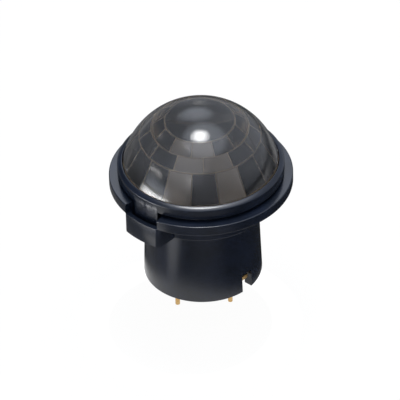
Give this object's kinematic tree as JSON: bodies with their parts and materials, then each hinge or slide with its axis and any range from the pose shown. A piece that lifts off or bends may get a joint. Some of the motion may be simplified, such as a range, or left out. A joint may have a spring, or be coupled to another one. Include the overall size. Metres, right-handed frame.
{
  "type": "infrared motion sensor",
  "caption": "Board-mounted passive infrared motion sensor: a dark faceted dome lens in a snap ring, on a flanged round body over a gold-leaded metal-can detector.",
  "frame": {"origin": "centre of the skirt's bottom rim, in the plane of the circuit board that the sensor is soldered to", "axes": "+Z along the lens axis, away from the board; +X through the supply lead; +Y through the output lead"},
  "size_m": [0.0174, 0.0174, 0.0229],
  "materials": {
    "lens": "moulded dark translucent polyethylene, glossy",
    "body": "moulded black plastic, satin gloss",
    "gold_plate": "gold plate over nickel-iron alloy",
    "can": "drawn steel, nickel plated",
    "filter": "coated silicon, mirror dark",
    "bond": "cured adhesive",
    "element": "lapped ceramic",
    "alumina": "fired alumina",
    "chip": "moulded epoxy",
    "chip_capacitor": "fired ceramic",
    "board": "glass-fibre laminate",
    "spacer": "moulded",
    "seal_glass": "fused glass bead"
  },
  "bodies": {
    "root": {"lens": "lens", "lens_ring": "body", "housing": "body", "header": "gold_plate", "detector_cap": "can", "infrared_filter": "filter", "filter_bond": "bond", "sensing_element": "element", "element_carrier": "alumina", "amplifier_chip": "chip", "supply_capacitor": "chip_capacitor", "output_capacitor": "chip_capacitor", "bias_resistor": "chip", "circuit_board": "board", "board_spacer": "spacer", "supply_seal": "seal_glass", "output_seal": "seal_glass", "supply_lead": "gold_plate", "output_lead": "gold_plate", "ground_lead": "gold_plate"}
  },
  "joints": []
}
